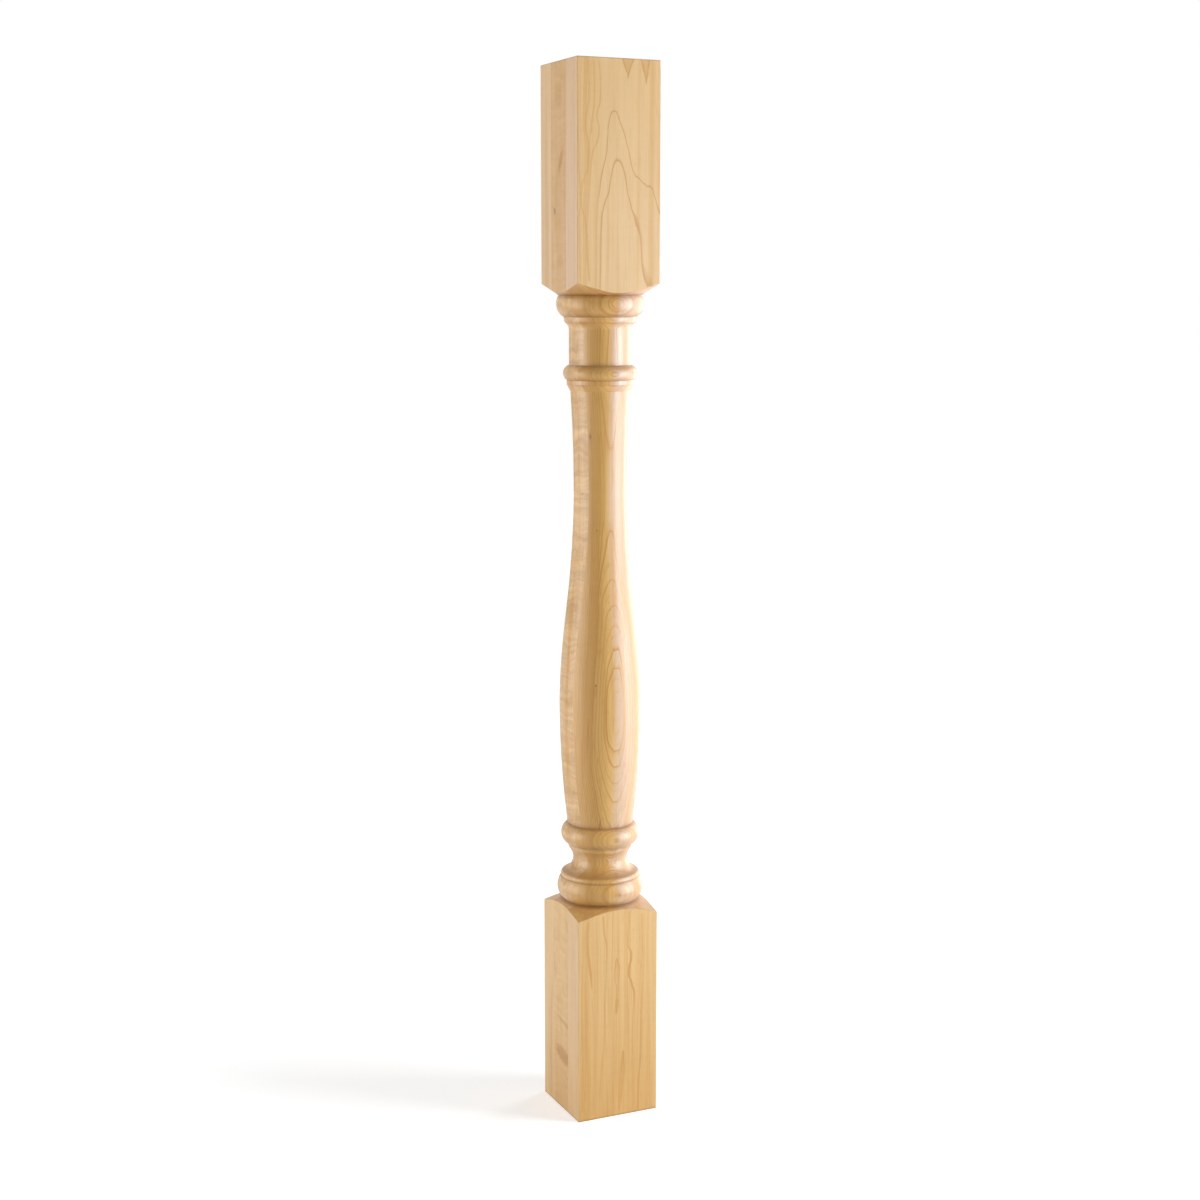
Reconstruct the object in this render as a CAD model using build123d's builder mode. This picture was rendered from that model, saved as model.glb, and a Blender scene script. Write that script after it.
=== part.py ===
from build123d import *
import os
from math import sqrt

# A square post turned on the lathe between its two square ends. Millimetres, +Z up the post,
# origin at the middle of the bottom end, block faces square to X and Y.

# The blank, a square length of wood, and how round its long edges, shoulder rims and ends are sanded
post_height = 1066.8
block_width = 88.9
arris_radius = 0.6
shoulder_rim_radius = 0.5
end_rim_radius = 0.4

# The square ends, up to where the turning first cuts their corners
low_square_height = 213.5
top_square_height = 213.1

# The shoulders that round the square ends off, from their corners in to the quirk beside the first bead
low_shoulder_height = 10.6
low_shoulder_bulge = 0.3
top_shoulder_height = 11.2
top_shoulder_bulge = 1.1

# Bottom group, heights from the lower quirk up
torus_height_below = 12.7
torus_height_above = 11.2
lip_height_below = 1.9
lip_height_above = 3.1
cove_height_below = 14.3
cove_height_above = 10.9
low_fillet_height = 4.2
low_bead_height_below = 11.1
low_bead_height_above = 11.0

# Top group, heights from the upper quirk down
top_bead_height_above = 8.2
top_bead_height_below = 12.9
top_fillet_height_above = 2.0
top_fillet_height_below = 3.5
neck_cove_height = 7.2
neck_height = 34.7
collar_bead_height_above = 8.4
collar_bead_height_below = 6.7
collar_fillet_height = 4.2
collar_bevel_height = 6.8

# How far each diameter is cut in from the blank's inscribed round, which just touches the block's faces
low_quirk_cut = 6.0
torus_cut = 0.05
lip_foot_cut = 3.9
lip_cut = 3.7
lip_top_cut = 5.6
cove_cut = 16.4
low_fillet_cut = 12.0
low_fillet_top_cut = 10.7
low_bead_cut = 4.0
foot_cut = 10.6
belly_cut = 2.8
waist_cut = 17.8
shaft_top_cut = 14.7
collar_fillet_cut = 11.0
collar_bead_cut = 7.3
neck_cut = 13.3
neck_cove_cut = 9.4
top_fillet_cut = 8.3
top_bead_foot_cut = 7.8
top_bead_cut = 0.6
top_quirk_cut = 3.0

# The vase and shaft fill what the two groups leave; the belly and the waist stand this far up them
belly_share = 0.277
waist_share = 0.79

# How far the long taper between them keeps straight at each end, as shares of its own length
belly_ease_share = 0.363
waist_ease_share = 0.478

# Round the square ends the profile stands clear of the square's corners, so that it leaves them whole
corner_clearance = 2.0
corner_radius = block_width / sqrt(2)
clear_radius = corner_radius + corner_clearance


def cut(depth, height):
    """Point of the profile at this height, cut in this deep from the blank's inscribed round."""
    return (block_width / 2 - depth, height)


def turned_round(low, middle, high):
    """Bead or cove in two arcs that meet upright at its crown or its throat."""
    TangentArc(middle, low, tangent=(0, -1))
    TangentArc(middle, high, tangent=(0, 1))


# Heights up the bottom group
low_quirk_z = low_square_height + low_shoulder_height
torus_z = low_quirk_z + torus_height_below
lip_foot_z = torus_z + torus_height_above
lip_z = lip_foot_z + lip_height_below
lip_top_z = lip_z + lip_height_above
cove_z = lip_top_z + cove_height_below
low_fillet_z = cove_z + cove_height_above
low_fillet_top_z = low_fillet_z + low_fillet_height
low_bead_z = low_fillet_top_z + low_bead_height_below
foot_z = low_bead_z + low_bead_height_above

# Heights down the top group
top_square_z = post_height - top_square_height
top_quirk_z = top_square_z - top_shoulder_height
top_bead_z = top_quirk_z - top_bead_height_above
top_bead_foot_z = top_bead_z - top_bead_height_below
top_fillet_z = top_bead_foot_z - top_fillet_height_above
top_fillet_foot_z = top_fillet_z - top_fillet_height_below
neck_top_z = top_fillet_foot_z - neck_cove_height
collar_bead_top_z = neck_top_z - neck_height
collar_bead_z = collar_bead_top_z - collar_bead_height_above
collar_fillet_top_z = collar_bead_z - collar_bead_height_below
collar_fillet_z = collar_fillet_top_z - collar_fillet_height
shaft_top_z = collar_fillet_z - collar_bevel_height

# The vase and shaft between the two groups
vase_height = shaft_top_z - foot_z
belly_z = foot_z + belly_share * vase_height
waist_z = foot_z + waist_share * vase_height
taper_height = waist_z - belly_z

with BuildPart() as turned_post:
    with BuildSketch(Plane.XY):
        RectangleRounded(block_width, block_width, arris_radius)
    extrude(amount=post_height)

    with BuildSketch(Plane.XZ):
        with BuildLine():
            # Lower square end and its shoulder
            low_quirk = cut(low_quirk_cut, low_quirk_z)
            low_corner = (corner_radius, low_square_height)
            Polyline((0, 0), (clear_radius, 0), (clear_radius, low_square_height), low_corner)
            SagittaArc(low_corner, low_quirk, low_shoulder_bulge)

            # Bottom group
            lip_foot = cut(lip_foot_cut, lip_foot_z)
            lip_top = cut(lip_top_cut, lip_top_z)
            low_fillet = cut(low_fillet_cut, low_fillet_z)
            low_fillet_top = cut(low_fillet_top_cut, low_fillet_top_z)
            foot = cut(foot_cut, foot_z)
            turned_round(low_quirk, cut(torus_cut, torus_z), lip_foot)
            turned_round(lip_foot, cut(lip_cut, lip_z), lip_top)
            turned_round(lip_top, cut(cove_cut, cove_z), low_fillet)
            Line(low_fillet, low_fillet_top)
            turned_round(low_fillet_top, cut(low_bead_cut, low_bead_z), foot)

            # Vase and shaft: swelling to the belly, a long taper to the waist, then a slight flare
            belly = cut(belly_cut, belly_z)
            waist = cut(waist_cut, waist_z)
            shaft_top = cut(shaft_top_cut, shaft_top_z)
            TangentArc(belly, foot, tangent=(0, -1))
            belly_handle = cut(belly_cut, belly_z + belly_ease_share * taper_height)
            waist_handle = cut(waist_cut, waist_z - waist_ease_share * taper_height)
            Bezier(belly, belly_handle, waist_handle, waist)
            TangentArc(waist, shaft_top, tangent=(0, 1))

            # Collar and neck
            collar_fillet = cut(collar_fillet_cut, collar_fillet_z)
            collar_fillet_top = cut(collar_fillet_cut, collar_fillet_top_z)
            neck_foot = cut(neck_cut, collar_bead_top_z)
            neck_top = cut(neck_cut, neck_top_z)
            Polyline(shaft_top, collar_fillet, collar_fillet_top)
            turned_round(collar_fillet_top, cut(collar_bead_cut, collar_bead_z), neck_foot)
            Line(neck_foot, neck_top)

            # Top group
            top_fillet_foot = cut(neck_cove_cut, top_fillet_foot_z)
            top_bead_foot = cut(top_bead_foot_cut, top_bead_foot_z)
            top_quirk = cut(top_quirk_cut, top_quirk_z)
            TangentArc(neck_top, top_fillet_foot, tangent=(0, 1))
            turned_round(top_fillet_foot, cut(top_fillet_cut, top_fillet_z), top_bead_foot)
            turned_round(top_bead_foot, cut(top_bead_cut, top_bead_z), top_quirk)

            # Upper shoulder and square end
            top_corner = (corner_radius, top_square_z)
            SagittaArc(top_quirk, top_corner, top_shoulder_bulge)
            top_outer = (clear_radius, top_square_z)
            Polyline(top_corner, top_outer, (clear_radius, post_height), (0, post_height), (0, 0))
        make_face()
    revolve(axis=Axis.Z, mode=Mode.INTERSECT)

    # Sanded rims, where the shoulders cut the block's faces and round both sawn ends
    fillet(turned_post.edges().filter_by(GeomType.BSPLINE), shoulder_rim_radius)
    fillet(turned_post.faces().filter_by(Plane.XY).edges(), end_rim_radius)

turned_post.part.label = "turned_post"
os.makedirs("parts", exist_ok=True)
export_step(turned_post.part, "parts/turned_post.step")
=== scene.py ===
"""Turned maple post, laid out as an add-on and run as a script.

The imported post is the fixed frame. Its wood, a blank glued up from three maple boards, is worked out here in
nodes, and the floor, lamps and camera are set round it.
"""

import math

import bpy
from bpy.props import FloatProperty, FloatVectorProperty, PointerProperty
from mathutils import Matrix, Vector


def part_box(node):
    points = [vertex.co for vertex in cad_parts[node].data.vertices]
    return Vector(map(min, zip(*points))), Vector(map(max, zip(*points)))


bl_info = {
    "name": "Turned maple post",
    "version": (1, 0, 0),
    "blender": (4, 5, 0),
    "location": "3D View > Sidebar > Turned Post",
    "description": "Gives a turned post its glued-up maple and sets the floor, lamps and camera round it",
    "category": "Material",
}

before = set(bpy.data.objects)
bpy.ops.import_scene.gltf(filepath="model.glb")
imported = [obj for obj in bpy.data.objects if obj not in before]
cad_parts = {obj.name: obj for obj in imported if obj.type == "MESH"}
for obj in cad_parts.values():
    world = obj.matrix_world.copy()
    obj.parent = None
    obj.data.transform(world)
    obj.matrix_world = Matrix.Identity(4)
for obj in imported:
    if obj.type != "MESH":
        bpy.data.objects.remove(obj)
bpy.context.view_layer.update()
POST_NODE = "turned_post"
POST_LOW, POST_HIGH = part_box(POST_NODE)
POST_HEIGHT = POST_HIGH.z - POST_LOW.z

# Object coordinates are metres. The wood is worked out in millimetres from the middle of the post's foot,
# with x to the right, y towards the back and z up the post. The tables below are in millimetres too.
MM = 1000.0
TOP_Z = POST_HEIGHT * MM
TURNING_FOOT, TURNING_HEAD = 223.0, 843.0
PLANED_OUT = POST_HIGH.x * MM - 0.25  # only the squares' planed faces reach farther than this from the axis
SIDE_DEPTH = 8.0  # the marks of one side of the post go in to this distance from the axis

# Growth rings, each by how far out it lies on its board and how dark its late wood is
RINGS = [
    (5.0, 0.5), (7.2, 0.4), (9.1, 0.6), (11.6, 0.4), (13.2, 0.7), (15.4, 0.5), (17.1, 0.7), (19.3, 0.5),
    (20.9, 0.8), (22.3, 0.5), (24.2, 0.7), (25.6, 0.6), (27.0, 0.7), (28.3, 0.8), (29.75, 1.0),
    (31.2, 0.12), (32.5, 0.8), (34.0, 0.14), (35.4, 0.75), (36.5, 0.1), (37.4, 0.5), (38.3, 0.12),
    (39.2, 1.0), (40.45, 1.0), (41.1, 0.1), (41.8, 0.15), (43.65, 1.0), (44.40, 0.85), (46.6, 0.7),
    (48.4, 0.6), (50.0, 0.5),
]
# How far the rings lean towards the face with height up the post: (height, lean)
RING_LEAN = [
    (0, -0.12), (60, -0.10), (130, -0.10), (165, -0.12), (200, -0.25), (225, -0.62), (240, -0.70),
    (262, -0.85), (304, -1.35), (333, -1.62), (353, -1.32), (370, -0.65), (386, -0.29), (417, 0.60),
    (437, 0.60), (455, 0.52), (472, 0.40), (491, 0.82), (512, 1.25), (534, 1.56), (561, 1.51), (609, 2.13),
    (700, 2.6), (790, 1.9), (853, 1.16), (876, 1.10), (896, 1.08), (909, 1.04), (918, 1.0), (923, 0.90),
    (932, 0.72), (941, 0.43), (946, 0.36), (953, 0.27), (959, 0.18), (971, -0.05), (985, -0.29),
    (997, -0.49), (1015, -0.80), (1030, -0.96), (1048, -1.10), (1067, -1.20),
]
# Where the middle of the rings' arch runs across the board: (height, offset)
RING_MIDDLE = [
    (0, 2.5), (60, 1.5), (120, 0.0), (180, -0.5), (237, 1.5), (310, 1.0), (333, 0.2), (353, -2.1),
    (370, -3.0), (386, -1.6), (430, 0.6), (472, 1.6), (491, 3.0), (512, 3.2), (534, 0.8), (561, -1.6),
    (609, -1.2), (850, -1.0), (925, -1.0), (971, -0.8), (985, -2.1), (997, -3.2), (1015, -4.8), (1067, -4.0),
]
# How far the rings fall back from their middle, across the board: (offset, fall), low, midway and high up
LOW_ARCH = [
    (-60, 12.0), (-45, 6.75), (-30, 3.0), (-15, 0.75), (0, 0.0), (15, 0.75), (30, 3.0), (45, 6.75),
    (60, 12.0),
]
MID_ARCH = [
    (-60, 22.0), (-45, 15.0), (-30, 8.2), (-20, 3.6), (-16, 1.75), (-13.4, 0.78), (-11.5, 0.37),
    (-10, 0.18), (-5, 0.03), (0, 0.0), (2.5, 0.2), (5, 0.8), (8, 1.7), (15, 3.8), (30, 8.5), (60, 19.0),
]
HIGH_ARCH = [
    (-60, 20.0), (-44.5, 11.0), (-40, 8.3), (-36, 6.0), (-32, 4.2), (-28.6, 2.85), (-26, 2.5), (-23, 2.0),
    (-20, 1.35), (-16.5, 1.0), (-13.5, 0.77), (-10, 0.5), (-7.6, 0.29), (-4, 0.06), (0, 0.0), (3.3, 0.07),
    (6.2, 0.22), (9, 0.42), (12.6, 0.78), (16, 0.98), (22, 1.08), (29.3, 1.17), (36.9, 1.23), (39.7, 1.45),
    (41.6, 1.62), (44.5, 1.77), (60, 2.6),
]
# Small marks in the wood: face, place across, height, half width, half height, lean, tone and how much of it
MARKS = [
    ("front", -19.5, 703.8, 1.0, 2.8, 0.0, "knot", 0.85),
    ("front", -19.5, 699.0, 1.4, 11.0, 0.0, "late_wood", 0.35),
    ("front", -20.8, 454.8, 0.9, 1.3, 0.0, "knot", 0.85),
    ("front", -21.4, 449.0, 1.8, 7.0, 0.05, "late_wood", 0.35),
    ("front", -19.0, 377.2, 0.6, 5.0, 0.0, "late_wood", 0.6),
    ("front", -14.3, 610.4, 0.9, 1.2, 0.0, "knot", 0.5),
    ("front", -24.4, 646.3, 1.2, 1.6, 0.3, "knot", 0.35),
    ("front", -27.5, 403.5, 0.6, 22.0, 0.01, "late_wood", 0.75),
    ("front", -14.4, 309.5, 0.8, 6.5, 0.02, "knot", 0.6),
    ("front", 9.5, 771.0, 10.5, 1.4, 0.0, "amber", 0.6),
    ("front", 2.4, 236.6, 1.5, 1.5, 0.0, "late_wood", 0.7),
    ("front", -5.3, 264.4, 5.0, 4.0, 0.0, "amber", 0.6),
    ("front", -40.5, 841.4, 4.0, 3.0, 0.0, "late_wood", 0.5),
    ("left", 9.9, 923.8, 2.0, 3.2, 0.3, "knot", 0.75),
    ("left", 6.5, 912.0, 3.2, 9.0, -0.3, "amber", 0.4),
    ("left", -5.6, 973.0, 4.6, 12.0, -0.42, "late_wood", 0.8),
    ("left", -9.0, 985.0, 3.0, 16.0, 0.0, "amber", 0.4),
    ("left", -0.3, 1034.7, 9.0, 13.0, 0.0, "late_wood", 0.32),
    ("left", -2.8, 876.1, 8.0, 6.0, 0.0, "late_wood", 0.35),
    ("left", -6.0, 58.0, 24.0, 9.0, 3.5, "late_wood", 0.85),
    ("left", -10.0, 94.0, 25.0, 2.4, 4.5, "late_wood", 0.5),
    ("left", -13.0, 37.4, 5.0, 1.5, 1.2, "late_wood", 0.4),
    ("left", -11.5, 26.4, 4.5, 1.2, 1.2, "late_wood", 0.4),
    ("left", -6.8, 185.4, 8.0, 3.0, 1.0, "amber", 0.3),
    ("left", -3.1, 173.8, 8.0, 3.0, 1.0, "amber", 0.3),
]
# Amber grain lines on both squares' front faces, some of which part and close again: how far each is filled,
# then (height, middle, half width, depth of tone)
SEAMS = [
    (0.2, [(110, -2.0, 0.2, 0.9), (117, -1.4, 0.8, 1.0), (124, -0.9, 0.9, 0.95), (129, -0.8, 0.6, 0.5),
           (136, -0.7, 0.7, 0.5), (149, -1.2, 2.4, 0.65), (155, -1.1, 2.6, 0.75), (160, -0.6, 2.2, 0.95),
           (166, -1.4, 1.1, 1.0), (170, -1.6, 0.2, 0.8)]),
    (0.9, [(6, 1.2, 0.3, 0.8), (15, 1.7, 1.0, 0.7), (30, 3.3, 2.2, 0.55), (45, 4.8, 2.1, 0.6),
           (59, 5.6, 1.2, 0.9), (66, 5.9, 0.8, 0.9), (70, 5.7, 0.2, 0.7)]),
    (1.0, [(2, -20.9, 0.4, 0.3), (20, -20.7, 0.4, 0.35), (44, -19.6, 0.4, 0.3), (64, -17.5, 0.4, 0.35),
           (93, -15.2, 0.4, 0.4), (122, -15.1, 0.5, 0.5), (152, -13.6, 0.4, 0.35), (180, -12.8, 0.5, 0.5),
           (198, -15.6, 0.5, 0.65), (217, -16.8, 0.5, 0.6)]),
    (1.0, [(44, 15.2, 0.4, 0.1), (50, 15.4, 0.4, 0.25), (94, 17.0, 0.4, 0.3), (110, 18.0, 0.5, 0.45),
           (122, 18.6, 0.6, 0.65), (139, 16.1, 0.7, 0.9), (146, 13.9, 0.7, 0.9), (152, 12.4, 0.8, 1.0),
           (160, 13.0, 0.8, 1.0), (171, 15.0, 0.7, 0.9), (178, 13.2, 0.6, 0.7), (186, 11.3, 0.5, 0.5),
           (200, 11.9, 0.5, 0.45), (219, 13.1, 0.5, 0.5)]),
    (1.0, [(2, 23.2, 0.5, 0.8), (27, 23.6, 0.5, 0.8), (66, 26.0, 0.6, 0.7), (107, 26.7, 0.5, 0.45),
           (159, 29.1, 0.4, 0.25), (183, 27.6, 0.4, 0.4), (214, 27.4, 0.4, 0.4)]),
    (1.0, [(856, -41.2, 0.15, 0.43), (913, -42.3, 0.20, 0.50), (937, -41.2, 0.15, 0.37),
           (972, -43.2, 0.20, 0.37), (1051, -43.2, 0.15, 0.31)]),
    (1.0, [(856, -32.4, 0.20, 0.50), (893, -33.6, 0.20, 0.50), (917, -36.8, 0.25, 0.56),
           (935, -40.1, 0.25, 0.43), (956, -35.7, 0.20, 0.50), (980, -31.3, 0.20, 0.43),
           (1002, -35.7, 0.25, 0.50), (1031, -31.9, 0.20, 0.43), (1064, -32.4, 0.20, 0.37)]),
    (1.0, [(958, -33.5, 0.15, 0.12), (966, -33.3, 0.20, 0.50), (980, -32.2, 0.20, 0.43),
           (1006, -29.1, 0.20, 0.50), (1031, -26.2, 0.20, 0.43), (1064, -26.9, 0.20, 0.37)]),
    (1.0, [(856, -31.0, 0.20, 0.43), (893, -34.6, 0.20, 0.50), (933, -32.4, 0.25, 0.43),
           (964, -30.2, 0.25, 0.50), (980, -27.5, 0.25, 0.56), (1000, -21.4, 0.25, 0.56),
           (1012, -23.6, 0.25, 0.50), (1025, -20.3, 0.25, 0.56), (1041, -19.9, 0.20, 0.43),
           (1064, -21.4, 0.20, 0.31)]),
    (1.0, [(10, -40.6, 0.25, 0.45), (60, -40.2, 0.25, 0.5), (110, -40.8, 0.25, 0.5), (168, -40.4, 0.2, 0.3)]),
    (1.0, [(20, -36.9, 0.2, 0.3), (90, -36.3, 0.25, 0.45), (150, -37.2, 0.2, 0.3)]),
    (1.0, [(140, -29.6, 0.2, 0.2), (150, -30.2, 0.4, 0.8), (160, -31.2, 0.8, 0.9), (171, -32.6, 0.8, 0.8),
           (193, -34.2, 0.6, 0.6), (212, -33.4, 0.5, 0.5)]),
]
# How strong the rings' lines are up the post: (height, strength)
RING_STRENGTH = [
    (0, 0.14), (205, 0.14), (235, 0.5), (300, 0.7), (520, 0.8), (610, 0.7), (650, 0.35), (740, 0.45),
    (848, 0.75), (860, 0.75), (1067, 0.75),
]
# Richer amber down the front board, most beside its left glue line: (across, share)
RICH_STREAK = [
    (-45, 0.15), (-30, 0.35), (-24, 0.45), (-17, 0.42), (-13, 0.2), (-8, 0.1), (-4, 0.05), (0, 0.0),
    (45, 0.0),
]
# Painted shade in the creases of the turning, where finish and dust also gather: (height, depth of tone),
# in the low and the high group
LOW_CREASE_SHADE = [
    (205, 0), (221.9, 0), (223.2, 0.75), (224.1, 1.0), (225.2, 0.8), (227.5, 0.15), (232, 0), (246.6, 0),
    (247.8, 0.7), (248.4, 0.6), (249.2, 0.0), (252.2, 0.0), (253.2, 0.55), (254.6, 0.35), (258, 0.1),
    (264, 0), (276.5, 0.1), (278.2, 0.0), (280.8, 0.0), (282.3, 0.6), (283.4, 0.5), (286, 0.1), (290, 0),
    (302.3, 0.0), (304.4, 0.85), (305.6, 0.5), (308, 0.1), (312, 0), (318, 0),
]
HIGH_CREASE_SHADE = [
    (740, 0), (753.0, 0), (754.6, 0.25), (755.4, 0.0), (757.8, 0.0), (758.9, 0.7), (760.0, 0.35),
    (762, 0.0), (772.0, 0.0), (773.8, 0.42), (775.2, 0.25), (778, 0), (814.5, 0.0), (815.9, 0.3),
    (816.8, 0.0), (820.2, 0.0), (821.3, 0.9), (822.6, 0.5), (825, 0.05), (838.5, 0.0), (841.2, 0.5),
    (842.5, 1.0), (843.6, 0.6), (845, 0.0), (860, 0),
]
# How each board's own place, across it, out towards its bark side and along it, follows from the post's: the
# post's axis that it runs along, the scale and the shift
BOARD_AXES = {
    "face": (("x", 1.0, 0.0), ("y", -1.0, 0.0), ("z", 1.0, 0.0)),
    "core": (("y", 1.0, 2.0), ("x", -0.92, -5.0), ("z", 1.0, -60.0)),
    "back": (("x", -1.0, 7.0), ("y", 1.0, -2.1), ("z", -1.0, 1075.0)),
}
# How far two of the boards are moved in the noises, so that no two boards have the same figure
FACE_FIGURE_SHIFT, BACK_FIGURE_SHIFT = 137.0, 311.0

# Noises in the wood, in cycles a millimetre across, out and along a board
STREAK_NOISE = (0.10, 0.06, 0.0022)
BLOTCH_NOISE = (0.06, 0.06, 0.03)
CURL_BEND_NOISE = (0.05, 0.05, 0.03)
CURL_NOISE = (0.025, 0.025, 0.19)
FIBRE_NOISE = (1.6, 1.6, 0.035)
DRIFT_NOISE = (0.03, 0.03, 0.006)
FLECK_NOISE = (1.3, 1.3, 0.10)
RAGGED_NOISE = (0.35, 0.35, 0.12)
MARK_NOISE = (0.3, 0.3, 0.3)
# Noise values between which a streak, a blotch or a fleck comes in
AMBER_STREAK, PALE_STREAK = (0.0, 0.22), (-0.04, -0.25)
BLOTCH_EDGE, FLECK_EDGE = (0.0, 0.2), (0.22, 0.32)
# How far the noises bend the curl, rag the tongues and wobble the marks
CURL_BEND, TONGUE_RAG, MARK_WOBBLE = 18.0, 3.0, 1.6
# How much of its lightness the wood gains or loses by each
CURL_DEPTH, FIBRE_DEPTH, DRIFT_DEPTH, FLECK_DEPTH = 0.8, 0.16, 0.14, 0.10
# How much duller the fibre, a ring's line, a group of beads and the end grain make the surface
FIBRE_DULLS, LINE_DULLS, BEADS_DULL, END_DULLS = 0.10, 0.05, -0.06, 0.12
# How the rings wander: the noise, and how far it moves them
RING_WANDER = [((0.05, 0.05, 0.012), 0.16), ((0.16, 0.16, 0.035), 0.12), ((0.9, 0.9, 0.12), 0.03)]
# Lesser grain lines: the noise, how near its zero a line reaches, and its depth of tone
LESSER_LINES = [((0.13, 0.13, 0.003), 0.02, 0.30), ((0.33, 0.33, 0.006), 0.03, 0.25)]

# Heights between which one arch of the rings gives way to the next, and the rings' wander calms down
LOW_TO_MID_ARCH = (360.0, 440.0)
MID_TO_HIGH_ARCH = (640.0, 800.0)
CALMING = (800.0, 860.0)
# Distances over the surface between which a ring's line fades out, on planed wood and on turned wood, and
# those for the softer amber inside it
LINE_FULL, LINE_GONE_PLANED, LINE_GONE_TURNED = 0.3, 1.9, 2.2
GLOW_REACH = (0.5, 6.0)
GLOW_DEPTH = 0.5
CORE_RING_SHARE = 0.15  # how strong the other boards' rings are beside the face board's
# Places across the rings' arch between which their lines fade, on the right of the turning and on the left of
# the squares, and between which the amber comes in on the squares
RIGHT_FADE = (0.5, 7.0)
LEFT_FADE = (-17.0, -24.0)
LEFT_GLOW = (-14.0, -24.0)

# Heights between which one tone gives way to another
TO_UPPER_SQUARE = (400.0, 700.0)
TO_LOWER_SQUARE = (400.0, 200.0)
UP_THE_UPPER_SQUARE = (880.0, 1060.0)
DOWN_TO_THE_FLOOR = (140.0, 5.0)
HIGHLIGHT_UP_THE_TURNING = (450.0, 600.0)
TOP_RIM, LOW_RIM = (TOP_Z - 1.2, TOP_Z - 0.3), (0.6, 2.0)
# Places across the post between which one tone gives way to another, the last one to that of the bundle of
# grain lines at the left of the upper square's front
RICH_TO_PALE = (-8.0, 5.0)
CORE_LEFT_TO_RIGHT = (-5.0, 5.0)
TO_BUNDLE = (-16.0, -24.0)
# Places across the turning and from its front to its back between which its right side begins, where painted
# shade comes in
SHADED_SIDE_ACROSS, SHADED_SIDE_BACK = (5.0, 20.0), (-10.0, 4.0)
# How squarely a surface faces sideways as it comes to count as a side, or goes off the front, and how
# squarely it faces up or down as it comes to count as an end
SIDEWAYS = (0.6, 0.95)
OFF_THE_FRONT = (0.3, 0.6)
ENDWAYS = (0.2, 0.95)

# Distances from the edge of a grain line or a tongue between which its outline and its body fade out, and the
# same for a mark, as the square of its share of the mark's size
SEAM_OUTLINE, SEAM_BODY = (0.2, 0.9), (-0.3, 0.6)
TONGUE_OUTLINE, TONGUE_BODY = (0.2, 1.3), (-0.6, 1.0)
MARK_EDGE = (0.3, 1.3)
# Two amber tongues let down from the top end: the tip's place across and its height, the root's place across
# and half its width
TONGUES = [(9.3, 1050.5, 9.5, 6.2), (28.9, 1045.5, 27.6, 4.4)]
# The two groups of beads, a little smoother than the rest: the height of each one's middle, half its height
BEAD_GROUPS = [(270.0, 55.0), (800.0, 55.0)]
BEAD_GROUP_FADE = 15.0

# What the tone is multiplied by in each region of the post
UPPER_CORE_TINT = (0.91, 0.83, 0.74)
UPPER_SQUARE_TINT = (0.995, 1.055, 1.33)
UPPER_BUNDLE_TINT = (0.96, 0.94, 0.86)
# Painted shade on the squares' right faces, which face the strongest lamp
RIGHT_FACE_SHADE_TINT = (0.80, 0.79, 0.78)
FOOT_TINT = (0.94, 0.87, 0.72)
# Painted highlight: the broad whitish veil on the right of the turning, stronger in its upper half
UPPER_PALE_HIGHLIGHT_TINT = (1.0, 1.05, 1.22)
TURNED_CORE_TINT_LEFT = (0.98, 0.995, 1.24)
# Painted highlight: the broad whitish veil on the right of the core board's turning
TURNED_CORE_HIGHLIGHT_TINT = (0.98, 1.03, 1.5)
# Painted shade round the turning's right side, which faces the strongest lamp
TURNED_RIGHT_SHADE_TINT = (0.84, 0.79, 0.66)
END_GRAIN_TINT = (0.92, 0.84, 0.68)
# Painted shade in the creases of the turning, where finish and dust also gather
CREASE_SHADE_TINT = (0.42, 0.30, 0.20)
RIM_TINT = (0.5, 0.40, 0.30)

# Softboxes: how far round to the camera's right each one stands, in degrees, its width and height, its
# distance from the post's axis and the height of its middle, in metres
SOFTBOXES = {
    "right": (81, (0.8, 1.4), 1.7, 0.6),
    "back": (139, (0.5, 1.4), 1.7, 0.6),
    "left": (-68, (1.0, 1.4), 1.7, 0.6),
    "top": (0, (0.8, 0.8), 0.0, 2.2),
}
FLOOR_HALF_SIDE = 6.0
FLOOR_WHITE = (0.8, 0.8, 0.8)
# How much the floor glows where it is looked at, and how near the post and how far from it, in metres
FLOOR_GLOWS, FLOOR_GLOW_REACH = (0.42, 0.95), (0.2, 2.2)
SENSOR_WIDTH = 36.0


def rgba(colour):
    """The colour as an opaque one."""
    return (*colour, 1.0)


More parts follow.
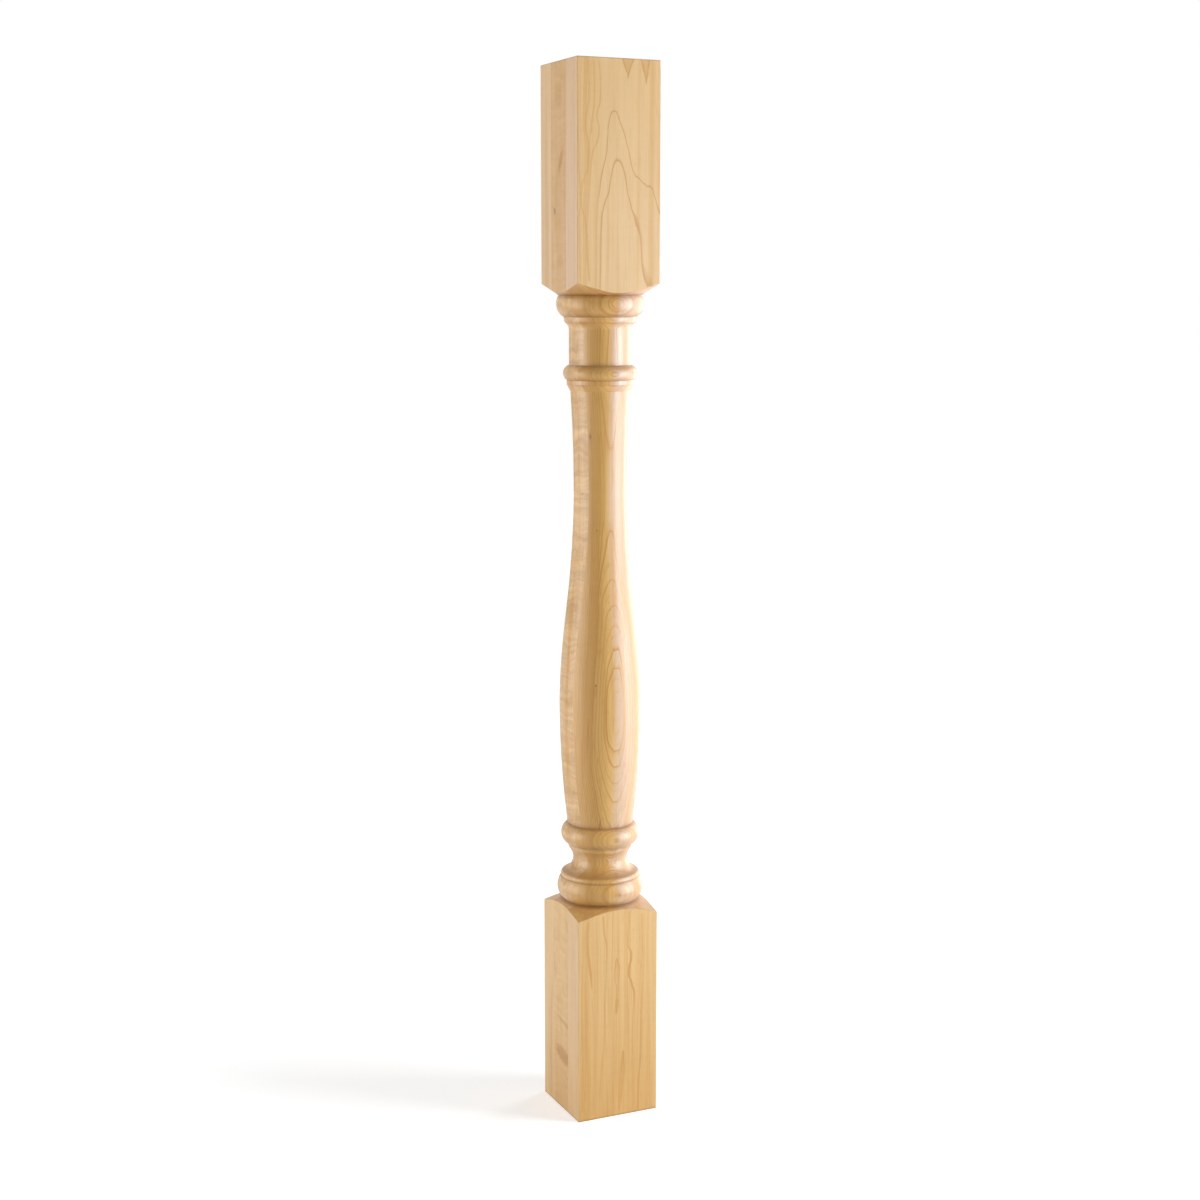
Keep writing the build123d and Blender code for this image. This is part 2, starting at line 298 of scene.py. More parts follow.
class Graph:
    """Lays down shader nodes and wires them up, so that a formula reads as one."""

    def __init__(self, tree):
        self.tree = tree
        tree.nodes.clear()

    def node(self, kind, **settings):
        made = self.tree.nodes.new("ShaderNode" + kind)
        for name, value in settings.items():
            setattr(made, name, value)
        return made

    def feed(self, socket, value):
        if isinstance(value, bpy.types.NodeSocket):
            self.tree.links.new(value, socket)
        else:
            socket.default_value = value

    def math(self, operation, *values, clamp=False):
        made = self.node("Math", operation=operation, use_clamp=clamp)
        for socket, value in zip(made.inputs, values):
            self.feed(socket, value)
        return made.outputs[0]

    def vector(self, operation, *values, scale=None):
        made = self.node("VectorMath", operation=operation)
        for socket, value in zip(made.inputs, values):
            self.feed(socket, value)
        if scale is not None:
            self.feed(made.inputs["Scale"], scale)
        return made.outputs["Value" if operation in ("LENGTH", "DOT_PRODUCT") else "Vector"]

    def combine(self, x, y, z):
        made = self.node("CombineXYZ")
        for socket, value in zip(made.inputs, (x, y, z)):
            self.feed(socket, value)
        return made.outputs[0]

    def split(self, vector):
        made = self.node("SeparateXYZ")
        self.feed(made.inputs[0], vector)
        return made.outputs

    def times(self, *values):
        """All the values multiplied together."""
        product, *others = values
        for value in others:
            product = self.math("MULTIPLY", product, value)
        return product

    def between(self, share, off, on):
        """A number that goes from off to on as the share goes from 0 to 1."""
        return self.math("MULTIPLY_ADD", share, on - off, off)

    def distance(self, value, place):
        """How far the value is from the place, to either side."""
        return self.math("ABSOLUTE", self.math("SUBTRACT", value, place))

    def ramp(self, value, low, high, to_low=0.0, to_high=1.0):
        """Smooth step from low to high."""
        made = self.node("MapRange", interpolation_type="SMOOTHSTEP")
        for socket, number in zip(made.inputs, (value, low, high, to_low, to_high)):
            self.feed(socket, number)
        return made.outputs[0]

    def mix(self, share, a, b, kind="RGBA"):
        """From a to b as the share goes from 0 to 1."""
        made = self.node("Mix", data_type=kind)
        sockets = [socket for socket in made.inputs if socket.enabled]
        for socket, value in zip(sockets, (share, a, b)):
            self.feed(socket, value)
        return next(socket for socket in made.outputs if socket.enabled)

    def paint(self, share, tone, colour):
        """The tone, covered with a colour as far as the share says."""
        return self.mix(share, tone, rgba(colour))

    def tint(self, share, tone, colour):
        """The tone, multiplied by a colour as far as the share says."""
        return self.mix(share, tone, self.vector("MULTIPLY", tone, colour))

    def noise(self, place, stretch, detail=2.0, roughness=0.5):
        """Noise from -0.5 to 0.5, of a place stretched by three numbers in cycles a millimetre."""
        made = self.node("TexNoise", noise_dimensions="3D")
        self.feed(made.inputs["Vector"], self.vector("MULTIPLY", place, stretch))
        made.inputs["Scale"].default_value = 1.0
        made.inputs["Detail"].default_value = detail
        made.inputs["Roughness"].default_value = roughness
        return self.math("SUBTRACT", made.outputs[0], 0.5)

    def curve(self, value, points, handles="AUTO_CLAMPED"):
        """A curve through the given (value, height) points."""
        xs, ys = zip(*points)
        low, high, floor, roof = xs[0], xs[-1], min(ys), max(ys)
        made = self.node("FloatCurve")
        line = made.mapping.curves[0].points
        places = [((x - low) / (high - low), (y - floor) / (roof - floor)) for x, y in points]
        line[0].location, line[-1].location = places[0], places[-1]
        for place in places[1:-1]:
            line.new(*place)
        for point in line:
            point.handle_type = handles
        made.mapping.update()
        share = self.math("MULTIPLY_ADD", value, 1 / (high - low), -low / (high - low))
        self.feed(made.inputs["Value"], share)
        return self.math("MULTIPLY_ADD", made.outputs[0], roof - floor, floor)

    def slope(self, value, points):
        """How steep the curve through the points is, worked out between each point's neighbours."""
        before, after = points[:1] + points[:-1], points[1:] + points[-1:]
        steepness = [(ahead[1] - behind[1]) / (ahead[0] - behind[0]) for behind, ahead in zip(before, after)]
        return self.curve(value, [(point[0], steep) for point, steep in zip(points, steepness)])

    def seen(self):
        """1 for a ray that is looked along, directly, mirrored or through glass, 0 for one that lights."""
        ray = self.node("LightPath").outputs
        looked = self.math("MAXIMUM", ray["Is Camera Ray"], ray["Is Glossy Ray"])
        return self.math("MAXIMUM", looked, ray["Is Transmission Ray"])


class Maple(Graph):
    """A blank glued up from three maple boards, as solid wood that the planer and the lathe cut into."""

    def __init__(self, tree, wood):
        super().__init__(tree)
        self.wood = wood
        coordinates = self.node("TexCoord").outputs
        place = self.split(self.vector("SCALE", coordinates["Object"], scale=MM))
        normal = self.split(coordinates["Normal"])
        self.x, self.y, self.z = place
        self.normal_x = normal[0]
        self.facing_x = self.math("ABSOLUTE", normal[0])
        self.facing_z = self.math("ABSOLUTE", normal[2])

        # The face board is in front of the first glue line, the back board behind the second
        self.face = self.math("LESS_THAN", self.y, wood.front_glue_line * MM)
        self.back = self.math("GREATER_THAN", self.y, wood.back_glue_line * MM)
        self.core = self.math("SUBTRACT", 1.0, self.math("ADD", self.face, self.back))

        # The planed faces of the squares, as against what the lathe cut
        farthest = self.math("MAXIMUM", self.math("ABSOLUTE", self.x), self.math("ABSOLUTE", self.y))
        turning_middle, turning_half = (TURNING_HEAD + TURNING_FOOT) / 2, (TURNING_HEAD - TURNING_FOOT) / 2
        squares = self.math("GREATER_THAN", self.distance(self.z, turning_middle), turning_half)
        self.planed = self.times(self.math("GREATER_THAN", farthest, PLANED_OUT), squares)
        self.turned = self.math("SUBTRACT", 1.0, self.planed)
        self.in_front = self.math("LESS_THAN", self.y, -SIDE_DEPTH)

        # Each board's own place and normal
        own = self.of_board(lambda board: self.combine(*(
            self.math("MULTIPLY_ADD", place["xyz".index(axis)], scale, shift)
            for axis, scale, shift in BOARD_AXES[board]
        )))
        self.own_normal = self.of_board(lambda board: self.combine(*(
            self.times(normal["xyz".index(axis)], math.copysign(1.0, scale))
            for axis, scale, _ in BOARD_AXES[board]
        )))
        self.across, self.out, self.along = self.split(own)
        shift = self.times(self.face, FACE_FIGURE_SHIFT)
        shift = self.math("MULTIPLY_ADD", self.back, BACK_FIGURE_SHIFT, shift)
        self.grain = self.vector("ADD", own, self.combine(shift, shift, shift))

    def of_board(self, make):
        """What make gives for the board that the place is in."""
        front = self.mix(self.face, make("core"), make("face"), "VECTOR")
        return self.mix(self.back, front, make("back"), "VECTOR")

    def growth_rings(self):
        """How strong the dark line that ends each ring is, and the softer amber just inside it."""
        # The rings are layers that lean and arch, counted from the post's middle outwards
        offset = self.math("SUBTRACT", self.across, self.curve(self.along, RING_MIDDLE))

        def arched(table):
            low, middle, high = (table(offset, arch) for arch in (LOW_ARCH, MID_ARCH, HIGH_ARCH))
            lower = self.mix(self.ramp(self.along, *LOW_TO_MID_ARCH), low, middle, "FLOAT")
            return self.mix(self.ramp(self.along, *MID_TO_HIGH_ARCH), lower, high, "FLOAT")

        layer = self.math("ADD", self.out, self.curve(self.along, RING_LEAN))
        layer = self.math("SUBTRACT", layer, arched(self.curve))
        calm = self.ramp(self.along, *CALMING, 1.0, 0.35)
        for stretch, size in RING_WANDER:
            layer = self.math("MULTIPLY_ADD", self.times(self.noise(self.grain, stretch), size), calm, layer)
        depths = [depth for depth, _ in RINGS]
        count = self.curve(layer, [(depth, number) for number, depth in enumerate(depths)], "VECTOR")
        dark = self.curve(count, [(number, tone) for number, (_, tone) in enumerate(RINGS)], "VECTOR")
        dark = self.times(dark, self.between(self.face, CORE_RING_SHARE, 1.0))
        gaps = [after - before for before, after in zip(depths, depths[1:])]
        gap = self.curve(count, list(enumerate(gaps[:1] + gaps)), "VECTOR")

        # Millimetres over the surface to the ring's line: the depth that is left, over how fast the surface
        # cuts the layers
        run = self.combine(self.times(arched(self.slope), -1.0), 1.0, self.slope(self.along, RING_LEAN))
        square_on = self.vector("DOT_PRODUCT", run, self.own_normal)
        head_on = self.vector("SCALE", self.own_normal, scale=square_on)
        cut = self.vector("LENGTH", self.vector("SUBTRACT", run, head_on))
        depth_left = self.times(self.math("SUBTRACT", 1.0, self.math("FRACT", count)), gap)
        to_line = self.math("DIVIDE", depth_left, self.math("MAXIMUM", cut, 0.01))

        # The lines fade on the right of the turning and on the left of the squares' fronts
        line_gone = self.between(self.turned, LINE_GONE_PLANED, LINE_GONE_TURNED)
        line = self.times(self.ramp(to_line, LINE_FULL, line_gone, 1.0, 0.0), dark)
        line = self.times(line, self.curve(self.z, RING_STRENGTH))
        right_turned = self.times(self.ramp(offset, *RIGHT_FADE), self.turned, self.face)
        left_planed = self.times(self.ramp(offset, *LEFT_FADE), self.planed, self.face)
        line = self.times(line, self.between(right_turned, 1.0, 0.45), self.between(left_planed, 1.0, 0.3))
        glowing = self.math("MAXIMUM", self.turned, self.times(self.ramp(offset, *LEFT_GLOW), 0.7))
        glow = self.times(self.ramp(to_line, *GLOW_REACH, 1.0, 0.0), dark, glowing)
        return line, glow

    def board_tones(self):
        """Tone of each board, and how it differs from place to place."""
        wood = self.wood
        # The face board is paler and greyer where it is cut across its rings
        face_tone = self.paint(self.ramp(self.facing_x, *SIDEWAYS), rgba(wood.face_tone), wood.edge_tone)
        tone = self.mix(self.face, rgba(wood.core_tone), face_tone)
        tone = self.paint(self.back, tone, wood.back_tone)

        # The planed squares: the upper one is creamier, and duller on its core board and over the bundle of
        # grain lines at the left of its front, both get painted shade on their right faces, which face the
        # strongest lamp, and the lower one is mellower towards the floor
        upper = self.times(self.planed, self.ramp(self.z, *TO_UPPER_SQUARE))
        tone = self.tint(self.times(self.core, upper), tone, UPPER_CORE_TINT)
        creamy = self.times(upper, self.ramp(self.z, *UP_THE_UPPER_SQUARE, 1.0, 0.45))
        tone = self.tint(creamy, tone, UPPER_SQUARE_TINT)
        facing_front = self.ramp(self.facing_x, *OFF_THE_FRONT, 1.0, 0.0)
        bundle = self.times(upper, self.face, self.ramp(self.x, *TO_BUNDLE), facing_front)
        tone = self.tint(bundle, tone, UPPER_BUNDLE_TINT)
        # Painted shade: the squares' right faces, which face the strongest lamp, are darkened
        tone = self.tint(self.times(self.planed, self.ramp(self.normal_x, *SIDEWAYS)), tone, RIGHT_FACE_SHADE_TINT)
        tone = self.tint(self.times(self.planed, self.ramp(self.z, *DOWN_TO_THE_FLOOR)), tone, FOOT_TINT)

        # The turning: richer on the left of the face board and paler on the right, a painted highlight of the
        # broad whitish veil there, most in its upper half, and darker again round the right side, painted
        # shade that holds back the strongest lamp
        rich = self.vector("MULTIPLY", tone, tuple(wood.rich_tint))
        # The pale copy is a painted highlight, the broad whitish veil on the right of the turning
        pale = self.vector("MULTIPLY", tone, tuple(wood.pale_highlight_tint))
        pale = self.tint(self.ramp(self.z, *HIGHLIGHT_UP_THE_TURNING), pale, UPPER_PALE_HIGHLIGHT_TINT)
        turned_face = self.mix(self.ramp(self.x, *RICH_TO_PALE), rich, pale)
        # The core board's right side gets a painted highlight, the broad whitish veil on the right of the
        # turning
        left_tint, highlight_tint = rgba(TURNED_CORE_TINT_LEFT), rgba(TURNED_CORE_HIGHLIGHT_TINT)
        core_tint_and_highlight = self.mix(self.ramp(self.x, *CORE_LEFT_TO_RIGHT), left_tint, highlight_tint)
        turned_core = self.vector("MULTIPLY", tone, core_tint_and_highlight)
        turned_tone = self.mix(self.face, turned_core, turned_face)
        # Painted shade round the right side, which faces the strongest lamp
        lamp_side_shade = self.times(self.ramp(self.x, *SHADED_SIDE_ACROSS), self.ramp(self.y, *SHADED_SIDE_BACK))
        turned_tone = self.tint(lamp_side_shade, turned_tone, TURNED_RIGHT_SHADE_TINT)
        return self.mix(self.turned, tone, turned_tone)

    def streaks(self, tone):
        """Broad streaks of amber and of pale wood, and the core board's blotches."""
        streak = self.noise(self.grain, STREAK_NOISE, 2.0, 0.6)
        amber = self.times(self.ramp(streak, *AMBER_STREAK), self.between(self.turned, 0.4, 0.75))
        tone = self.paint(amber, tone, self.wood.amber)
        tone = self.paint(self.times(self.ramp(streak, *PALE_STREAK), 0.35), tone, self.wood.pale)
        rich = self.times(self.curve(self.x, RICH_STREAK), self.face, self.turned)
        rich = self.math("MULTIPLY", rich, self.math("MULTIPLY_ADD", streak, 1.5, 0.8), clamp=True)
        tone = self.paint(rich, tone, self.wood.amber)
        blotch = self.noise(self.grain, BLOTCH_NOISE, 3.0, 0.6)
        return self.paint(self.times(self.ramp(blotch, *BLOTCH_EDGE), self.core, 0.5), tone, self.wood.amber)

    def lesser_lines(self, tone):
        """Lesser grain lines that wander up the post, most on the turning and the lower square."""
        low_square = self.times(self.planed, self.ramp(self.z, *TO_LOWER_SQUARE, 0.0, 0.5))
        strength = self.math("ADD", self.between(self.turned, 0.4, 1.0), low_square)
        for stretch, width, share in LESSER_LINES:
            wander = self.math("ABSOLUTE", self.noise(self.grain, stretch, 1.0))
            drawn = self.times(self.ramp(wander, 0.0, width, share, 0.0), strength)
            tone = self.paint(drawn, tone, self.wood.late_wood)
        return tone

    def seams(self, tone):
        """Amber grain lines of the squares' front faces, each an outline that may part, and its filling."""
        on_face = self.times(self.in_front, self.planed)
        for filled, seam in SEAMS:
            foot, head = seam[0][0], seam[-1][0]
            middle, half, shade = (
                self.curve(self.z, [(point[0], point[which]) for point in seam]) for which in (1, 2, 3)
            )
            away = self.math("SUBTRACT", self.distance(self.x, middle), half)
            outline = self.ramp(self.math("ABSOLUTE", away), *SEAM_OUTLINE, 1.0, 0.0)
            body = self.ramp(away, *SEAM_BODY, filled, 0.0)
            there = self.math("COMPARE", self.z, (foot + head) / 2, (head - foot) / 2)
            shade = self.times(shade, there, on_face)
            amber = self.times(self.math("MAXIMUM", outline, body), shade, 0.95)
            tone = self.paint(amber, tone, self.wood.amber)
            tone = self.paint(self.times(outline, shade, 0.15), tone, self.wood.late_wood)
        return tone

    def tongues(self, tone):
        """Amber tongues let down from the top end, ragged at their edges, with a darker outline."""
        ragged = self.times(self.noise(self.grain, RAGGED_NOISE), TONGUE_RAG)
        for tip_x, tip_z, root_x, half in TONGUES:
            up = self.math("DIVIDE", self.math("SUBTRACT", self.z, tip_z), TOP_Z - tip_z, clamp=True)
            middle = self.between(up, tip_x, root_x)
            away = self.math("MULTIPLY_ADD", up, -half, self.distance(self.x, middle))
            away = self.math("ADD", away, ragged)
            there = self.times(self.math("GREATER_THAN", self.z, tip_z - 2.0), self.in_front)
            body = self.ramp(away, *TONGUE_BODY, 0.6, 0.0)
            outline = self.ramp(self.math("ABSOLUTE", away), *TONGUE_OUTLINE, 0.5, 0.0)
            tone = self.paint(self.times(body, there), tone, self.wood.amber)
            tone = self.paint(self.times(outline, there), tone, self.wood.late_wood)
        return tone

    def marks(self, tone):
        """Knots, flecks and stains: ovals with a wobbling edge.

        A tall one's lean is how far it goes sideways in a millimetre of height, and a broad one's is how far
        it rises in half its width.
        """
        faces = {
            "front": (self.x, self.in_front),
            "left": (self.y, self.times(self.math("LESS_THAN", self.x, -SIDE_DEPTH), self.core)),
        }
        wobble = self.times(self.noise(self.grain, MARK_NOISE), MARK_WOBBLE)
        for side, place, height, half_width, half_height, lean, kind, share in MARKS:
            here, there = faces[side]
            sideways = self.math("SUBTRACT", here, place)
            upwards = self.math("SUBTRACT", self.z, height)
            if half_width > 2 * half_height:
                upwards = self.math("MULTIPLY_ADD", sideways, -lean / half_width, upwards)
            else:
                sideways = self.math("MULTIPLY_ADD", upwards, -lean, sideways)
            sideways = self.math("DIVIDE", sideways, half_width)
            upwards = self.math("DIVIDE", upwards, half_height)
            away = self.math("MULTIPLY_ADD", sideways, sideways, self.times(upwards, upwards))
            spot = self.ramp(self.math("ADD", away, wobble), *MARK_EDGE, share, 0.0)
            tone = self.paint(self.times(spot, there), tone, getattr(self.wood, kind))
        return tone

    def fine_grain(self, tone, fibre):
        """Curl across the core board's grain, fine fibre, slow drift and tiny flecks, warmer where darker."""
        bend = self.times(self.noise(self.grain, CURL_BEND_NOISE), CURL_BEND)
        curl_place = self.combine(self.across, self.out, self.math("ADD", self.along, bend))
        curl = self.noise(curl_place, CURL_NOISE, 3.0, 0.6)
        curled = self.times(self.core, self.between(self.turned, 0.35, 1.0))
        level = self.math("MULTIPLY_ADD", self.times(curl, self.math("ADD", curled, 0.06)), CURL_DEPTH, 1.0)
        level = self.math("MULTIPLY_ADD", fibre, FIBRE_DEPTH, level)
        level = self.math("MULTIPLY_ADD", self.noise(self.grain, DRIFT_NOISE), DRIFT_DEPTH, level)
        fleck = self.ramp(self.noise(self.grain, FLECK_NOISE, 0.0), *FLECK_EDGE, 0.0, FLECK_DEPTH)
        level = self.math("SUBTRACT", level, fleck)
        warm = self.combine(level, self.math("POWER", level, 1.25), self.math("POWER", level, 1.6))
        return self.vector("MULTIPLY", tone, warm)

    def soaked_and_shaded(self, tone, end):
        """End grain drinks more finish, and so do the sawn rims; the creases get painted shade, where finish
        and dust also gather.
        """
        tone = self.tint(end, tone, END_GRAIN_TINT)
        # Painted shade: the creases of the turning are darkened, where finish and dust also gather
        low_crease_shade = self.curve(self.z, LOW_CREASE_SHADE, "VECTOR")
        high_crease_shade = self.curve(self.z, HIGH_CREASE_SHADE, "VECTOR")
        crease_shade = self.times(self.math("MAXIMUM", low_crease_shade, high_crease_shade), self.turned, self.wood.crease_shade)
        tone = self.tint(crease_shade, tone, CREASE_SHADE_TINT)
        rim = self.math("MAXIMUM", self.ramp(self.z, *TOP_RIM), self.ramp(self.z, *LOW_RIM, 1.0, 0.0))
        return self.tint(self.times(rim, 0.65), tone, RIM_TINT)

    def surface(self, tone, fibre, line, end):
        """The sanded and finished surface over the wood's tone."""
        rough = self.math("MULTIPLY_ADD", fibre, FIBRE_DULLS, self.wood.roughness)
        rough = self.math("MULTIPLY_ADD", line, LINE_DULLS, rough)
        for middle, half in BEAD_GROUPS:
            grouped = self.ramp(self.distance(self.z, middle), half, half - BEAD_GROUP_FADE)
            rough = self.math("MULTIPLY_ADD", self.times(grouped, self.turned), BEADS_DULL, rough)
        rough = self.math("MULTIPLY_ADD", end, END_DULLS, rough)

        shader = self.node("BsdfPrincipled")
        self.feed(shader.inputs["Base Color"], tone)
        self.feed(shader.inputs["Roughness"], rough)
        shader.inputs["IOR"].default_value = 1.5
        shader.inputs["Specular IOR Level"].default_value = 0.66
        shader.inputs["Sheen Weight"].default_value = self.wood.sheen
        shader.inputs["Sheen Roughness"].default_value = 0.4
        shader.inputs["Sheen Tint"].default_value = (1.0, 1.0, 1.0, 1.0)
        bump = self.node("Bump")
        bump.inputs["Strength"].default_value = 0.25
        bump.inputs["Distance"].default_value = 0.0001
        self.feed(bump.inputs["Height"], fibre)
        self.feed(shader.inputs["Normal"], bump.outputs[0])
        self.feed(self.node("OutputMaterial").inputs["Surface"], shader.outputs[0])


def maple(name, wood):
    """Glued-up maple: three boards, each with its own tone, growth rings, fibre, figure and flecks."""
    material = bpy.data.materials.new(name)
    material.use_nodes = True
    blank = Maple(material.node_tree, wood)
    line, glow = blank.growth_rings()
    fibre = blank.noise(blank.grain, FIBRE_NOISE, 3.0, 0.6)
    end = blank.times(blank.ramp(blank.facing_z, *ENDWAYS), wood.end_grain)

    tone = blank.lesser_lines(blank.streaks(blank.board_tones()))
    tone = blank.paint(blank.times(glow, GLOW_DEPTH), tone, wood.amber)
    tone = blank.paint(line, tone, wood.late_wood)
    tone = blank.marks(blank.tongues(blank.seams(tone)))
    tone = blank.soaked_and_shaded(blank.fine_grain(tone, fibre), end)
    blank.surface(tone, fibre, line, end)
    return material


class MapleWood(bpy.types.PropertyGroup):
    """The blank's boards and their finish."""

    front_glue_line: FloatProperty(
        name="Front glue line", description="Where the face board meets the core board, front to back",
        default=-0.0175, unit="LENGTH", precision=4)
    back_glue_line: FloatProperty(
        name="Back glue line", description="Where the core board meets the back board, front to back",
        default=0.0185, unit="LENGTH", precision=4)
    face_tone: FloatVectorProperty(
        name="Face board", description="Colour of the front board's early wood",
        default=(0.635, 0.412, 0.166), subtype="COLOR", min=0, max=1)
    core_tone: FloatVectorProperty(
        name="Core board", description="Colour of the middle board's early wood",
        default=(0.650, 0.410, 0.165), subtype="COLOR", min=0, max=1)
    back_tone: FloatVectorProperty(
        name="Back board", description="Colour of the back board's early wood",
        default=(0.676, 0.440, 0.200), subtype="COLOR", min=0, max=1)
    edge_tone: FloatVectorProperty(
        name="Face board's edge", description="Colour of the front board where it is cut across its rings",
        default=(0.71, 0.485, 0.27), subtype="COLOR", min=0, max=1)
    rich_tint: FloatVectorProperty(
        name="Rich side", description="What the front board's left side is multiplied by where it is turned",
        default=(1.03, 0.975, 0.72), subtype="COLOR", min=0, max=2)
    # Painted highlight: the broad whitish veil on the right of the turned front board
    pale_highlight_tint: FloatVectorProperty(
        name="Pale side", description="What the front board's right side is multiplied by where it is turned",
        default=(0.85, 0.94, 1.64), subtype="COLOR", min=0, max=2)
    amber: FloatVectorProperty(
        name="Amber", description="Colour of the richer streaks and of the wood just inside each ring",
        default=(0.53, 0.275, 0.062), subtype="COLOR", min=0, max=1)
    pale: FloatVectorProperty(
        name="Pale", description="Colour of the palest streaks",
        default=(0.76, 0.54, 0.29), subtype="COLOR", min=0, max=1)
    late_wood: FloatVectorProperty(
        name="Late wood", description="Colour of the dark line that ends each ring",
        default=(0.43, 0.197, 0.033), subtype="COLOR", min=0, max=1)
    knot: FloatVectorProperty(
        name="Knots and flecks", description="Colour of the small knots and flecks",
        default=(0.20, 0.09, 0.03), subtype="COLOR", min=0, max=1)
    end_grain: FloatProperty(
        name="End grain", description="How much darker the wood is where its fibres end",
        default=0.7, min=0, max=1, subtype="FACTOR")
    # Painted shade: how much the creases of the turning are darkened, where finish and dust also gather
    crease_shade: FloatProperty(
        name="Creases", description="How much darker the creases of the turning are",
        default=0.8, min=0, max=1, subtype="FACTOR")
    sheen: FloatProperty(
        name="Sheen", description="How much the sanded fibres whiten at a glance",
        default=0.32, min=0, max=1, subtype="FACTOR")
    roughness: FloatProperty(
        name="Roughness", description="How dull the sanded surface is",
        default=0.47, min=0, max=1, subtype="FACTOR")


class StudioStage(bpy.types.PropertyGroup):
    """The lamps and the camera."""

    right_lamp: FloatProperty(
        name="Right lamp", description="Power of the softbox on the right",
        default=47.0, min=0, unit="POWER")
    left_lamp: FloatProperty(
        name="Left lamp", description="Power of the softbox on the left",
        default=23.0, min=0, unit="POWER")
    back_lamp: FloatProperty(
        name="Back lamp", description="Power of the softbox behind, on the right",
        default=14.0, min=0, unit="POWER")
    top_lamp: FloatProperty(
        name="Top lamp", description="Power of the softbox straight overhead",
        default=6.0, min=0, unit="POWER")
    ambient: FloatProperty(
        name="Ambient", description="Strength of the light from all round", default=0.16, min=0)
    camera_turn: FloatProperty(
        name="Camera turn", description="How far round from the front the camera is, negative to the left",
        default=math.radians(-24.63), subtype="ANGLE")
    camera_distance: FloatProperty(
        name="Camera distance", description="From the post's axis, on the level",
        default=1.9590, unit="LENGTH")
    camera_height: FloatProperty(
        name="Camera height", description="Above the floor", default=0.8388, unit="LENGTH")
    camera_tilt: FloatProperty(
        name="Camera tilt", description="How far the camera looks down",
        default=math.radians(8.79), subtype="ANGLE")
    lens: FloatProperty(
        name="Lens", description="Focal length on a 36 mm frame, in millimetres", default=58.39, min=1)


def heading(turn):
    """Level direction from the post towards a place this far round from its front."""
    return Vector((math.sin(turn), -math.cos(turn), 0.0))


class POST_OT_finish(bpy.types.Operator):
    """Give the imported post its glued-up maple"""

    bl_idname = "turned_post.finish"
    bl_label = "Finish the post in maple"

    def execute(self, context):
        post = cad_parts[POST_NODE]
        wood = maple("glued_up_maple", context.scene.maple_wood)
        for slot in post.material_slots:
            slot.material = wood
        return {"FINISHED"}


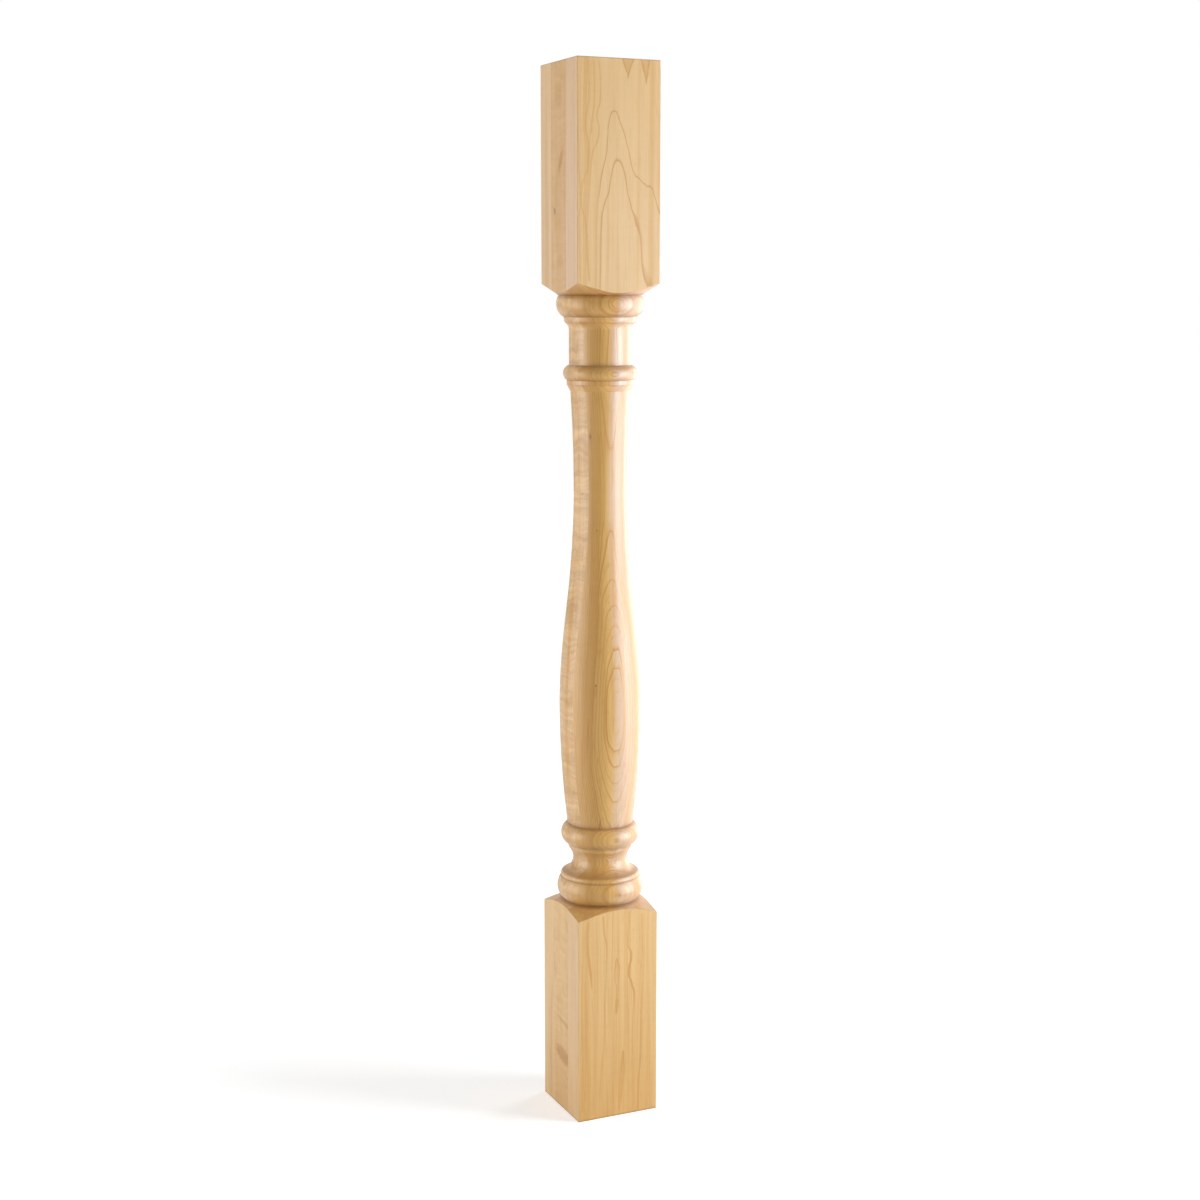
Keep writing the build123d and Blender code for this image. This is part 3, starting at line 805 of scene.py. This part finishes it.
class POST_OT_stage(bpy.types.Operator):
    """Set the floor, the lamps and the camera"""

    bl_idname = "turned_post.stage"
    bl_label = "Set the stage"

    def execute(self, context):
        stage = context.scene.studio_stage
        self.floor(context.scene)
        self.world(context.scene, stage.ambient)
        self.softboxes(context.scene, stage)
        self.camera(context.scene, stage)
        context.scene.view_settings.view_transform = "Standard"
        return {"FINISHED"}

    @staticmethod
    def floor(scene):
        """A wide white floor that also glows where it is looked at, brighter away from the post."""
        mesh = bpy.data.meshes.new("floor")
        half = FLOOR_HALF_SIDE
        corners = [(-half, -half, 0), (half, -half, 0), (half, half, 0), (-half, half, 0)]
        mesh.from_pydata(corners, [], [(0, 1, 2, 3)])
        floor = bpy.data.objects.new("floor", mesh)
        scene.collection.objects.link(floor)
        material = bpy.data.materials.new("white_floor")
        material.use_nodes = True
        g = Graph(material.node_tree)
        paint = g.node("BsdfDiffuse")
        paint.inputs["Color"].default_value = rgba(FLOOR_WHITE)
        away = g.vector("LENGTH", g.node("TexCoord").outputs["Object"])
        glow = g.node("Emission")
        g.feed(glow.inputs["Strength"], g.times(g.seen(), g.ramp(away, *FLOOR_GLOW_REACH, *FLOOR_GLOWS)))
        both = g.node("AddShader")
        g.feed(both.inputs[0], paint.outputs[0])
        g.feed(both.inputs[1], glow.outputs[0])
        g.feed(g.node("OutputMaterial").inputs["Surface"], both.outputs[0])
        mesh.materials.append(material)

    @staticmethod
    def world(scene, ambient):
        """White all round where it is looked at, and only a weak light from all round."""
        world = bpy.data.worlds.new("white_studio")
        scene.world = world
        world.use_nodes = True
        g = Graph(world.node_tree)
        background = g.node("Background")
        background.inputs["Color"].default_value = rgba((1.0, 1.0, 1.0))
        g.feed(background.inputs["Strength"], g.between(g.seen(), ambient, 1.0))
        g.feed(g.node("OutputWorld").inputs["Surface"], background.outputs[0])

    @staticmethod
    def softboxes(scene, stage):
        """Softboxes round the post, each turned to its middle."""
        middle = Vector((0, 0, POST_HEIGHT / 2))
        for side, (turn, size, distance, height) in SOFTBOXES.items():
            name = f"{side}_softbox"
            lamp = bpy.data.lights.new(name, "AREA")
            lamp.shape = "RECTANGLE"
            lamp.size, lamp.size_y = size
            lamp.energy = getattr(stage, f"{side}_lamp")
            box = bpy.data.objects.new(name, lamp)
            towards = heading(stage.camera_turn + math.radians(turn))
            box.location = towards * distance + Vector((0, 0, height))
            box.rotation_euler = (middle - box.location).to_track_quat("-Z", "Y").to_euler()
            box.visible_camera = False
            scene.collection.objects.link(box)

    @staticmethod
    def camera(scene, stage):
        """The camera, looking across the post's axis and down."""
        data = bpy.data.cameras.new("camera")
        data.sensor_width = SENSOR_WIDTH
        data.lens = stage.lens
        camera = bpy.data.objects.new("camera", data)
        back = heading(stage.camera_turn)
        camera.location = back * stage.camera_distance + Vector((0, 0, stage.camera_height))
        look = -back * math.cos(stage.camera_tilt) - Vector((0, 0, math.sin(stage.camera_tilt)))
        camera.rotation_euler = look.to_track_quat("-Z", "Y").to_euler()
        scene.collection.objects.link(camera)
        scene.camera = camera


class POST_PT_sidebar(bpy.types.Panel):
    """The post's settings and steps, in the sidebar"""

    bl_idname = "POST_PT_sidebar"
    bl_label = "Turned Post"
    bl_space_type = "VIEW_3D"
    bl_region_type = "UI"
    bl_category = "Turned Post"

    def draw(self, context):
        for title, group, step in (
            ("Maple", context.scene.maple_wood, POST_OT_finish),
            ("Stage", context.scene.studio_stage, POST_OT_stage),
        ):
            box = self.layout.box()
            box.label(text=title)
            for name in group.__annotations__:
                box.prop(group, name)
            box.operator(step.bl_idname)


CLASSES = (MapleWood, StudioStage, POST_OT_finish, POST_OT_stage, POST_PT_sidebar)


def register():
    for each in CLASSES:
        bpy.utils.register_class(each)
    bpy.types.Scene.maple_wood = PointerProperty(type=MapleWood)
    bpy.types.Scene.studio_stage = PointerProperty(type=StudioStage)


def unregister():
    del bpy.types.Scene.studio_stage
    del bpy.types.Scene.maple_wood
    for each in reversed(CLASSES):
        bpy.utils.unregister_class(each)


def main():
    register()
    bpy.ops.turned_post.stage()
    bpy.ops.turned_post.finish()


if __name__ == "__main__":
    main()
